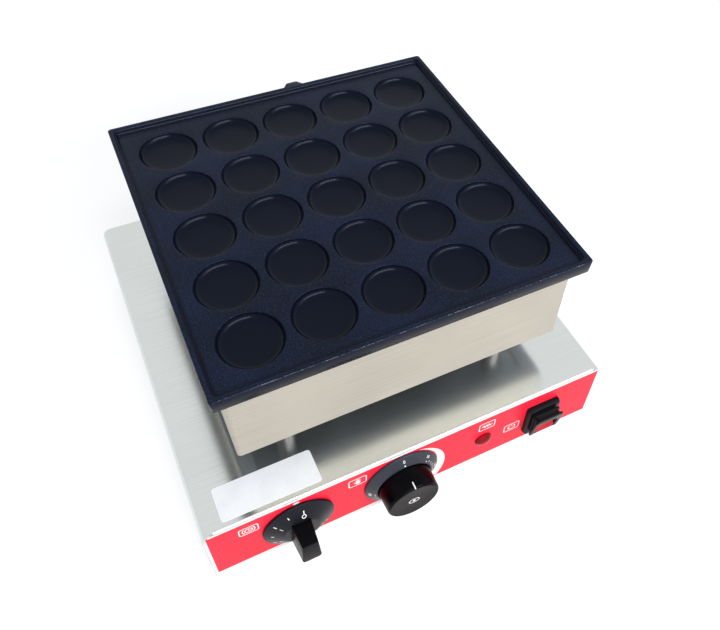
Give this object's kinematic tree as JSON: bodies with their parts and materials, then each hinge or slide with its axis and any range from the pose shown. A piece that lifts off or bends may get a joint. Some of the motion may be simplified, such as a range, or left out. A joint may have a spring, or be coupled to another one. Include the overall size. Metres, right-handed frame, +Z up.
{
  "type": "mini pancake grill",
  "caption": "Countertop electric grill: a square cast plate with round batter recesses on a heater box, raised on posts above a steel control base with timer, thermostat, lamp and switch.",
  "frame": {"origin": "middle of the footprint on the table, under the feet", "axes": "+Z up, controls face -Y, +X to the right as seen from the front"},
  "size_m": [0.302, 0.3296, 0.1797],
  "materials": {
    "cast_plate": "matte black non-stick coat on cast metal",
    "stainless": "brushed stainless sheet, grain from side to side",
    "plated_steel": "bright zinc",
    "mineral_wool": "pale fibre mat",
    "element_steel": "heat-stained tube",
    "ceramic": "glazed ceramic",
    "copper": "bare copper",
    "brass": "bare brass",
    "sleeve": "woven glass sleeve",
    "wire": "wire insulation",
    "rubber": "matte",
    "red_film": "satin printed film, red field with a white border",
    "white_label": "satin paper",
    "black_plastic": "satin moulded",
    "pale_plastic": "satin moulded",
    "red_lens": "tinted clear plastic",
    "red_plastic": "tinted gloss plastic"
  },
  "bodies": {
    "grill": {"baking_plate": "cast_plate", "heater_box": "stainless", "heater_box_floor": "plated_steel", "insulation_mat": "mineral_wool", "heating_element": "element_steel", "element_bushes": "ceramic", "clamp_plate": "plated_steel", "clamp_bolts": "plated_steel", "plate_brackets": "plated_steel", "plate_screws": "plated_steel", "capillary_bulb": "copper", "bulb_saddle": "plated_steel", "heater_leads": "sleeve", "support_posts": "stainless", "post_bolts": "plated_steel", "post_nuts": "plated_steel", "wire_conduit": "plated_steel", "base_cover": "stainless", "bottom_plate": "plated_steel", "bottom_screws": "plated_steel", "rubber_feet": "rubber", "foot_screws": "plated_steel", "foot_nuts": "plated_steel", "panel_film": "red_film", "blank_label": "white_label", "timer_case": "plated_steel", "timer_nut": "plated_steel", "thermostat_case": "plated_steel", "thermostat_nut": "plated_steel", "thermostat_ring": "black_plastic", "lamp_lens": "red_lens", "lamp_nut": "plated_steel", "switch_frame": "black_plastic", "switch_terminals": "brass", "terminal_block": "pale_plastic", "terminal_screws": "brass", "base_wiring": "wire", "earth_stud": "brass", "cable_gland": "black_plastic", "gland_cap": "black_plastic", "gland_locknut": "black_plastic"},
    "timer_dial": {"timer_knob": "black_plastic", "timer_shaft": "plated_steel"},
    "thermostat_dial": {"thermostat_knob": "black_plastic", "thermostat_shaft": "plated_steel"},
    "rocker": {"switch_rocker": "red_plastic"}
  },
  "joints": [
    {"name": "timer_turn", "type": "hinge", "parent": "grill", "child": "timer_dial", "pos_m": [-0.09, -0.1402, 0.04125], "axis": [0, 1, 0], "range_deg": [-10, 242]},
    {"name": "thermostat_turn", "type": "hinge", "parent": "grill", "child": "thermostat_dial", "pos_m": [-0.014, -0.1402, 0.04125], "axis": [0, 1, 0], "range_deg": [0, 264]},
    {"name": "rocker_tilt", "type": "hinge", "parent": "grill", "child": "rocker", "pos_m": [0.1015, -0.1446, 0.04125], "axis": [1, 0, 0], "range_deg": [0, 20]}
  ]
}
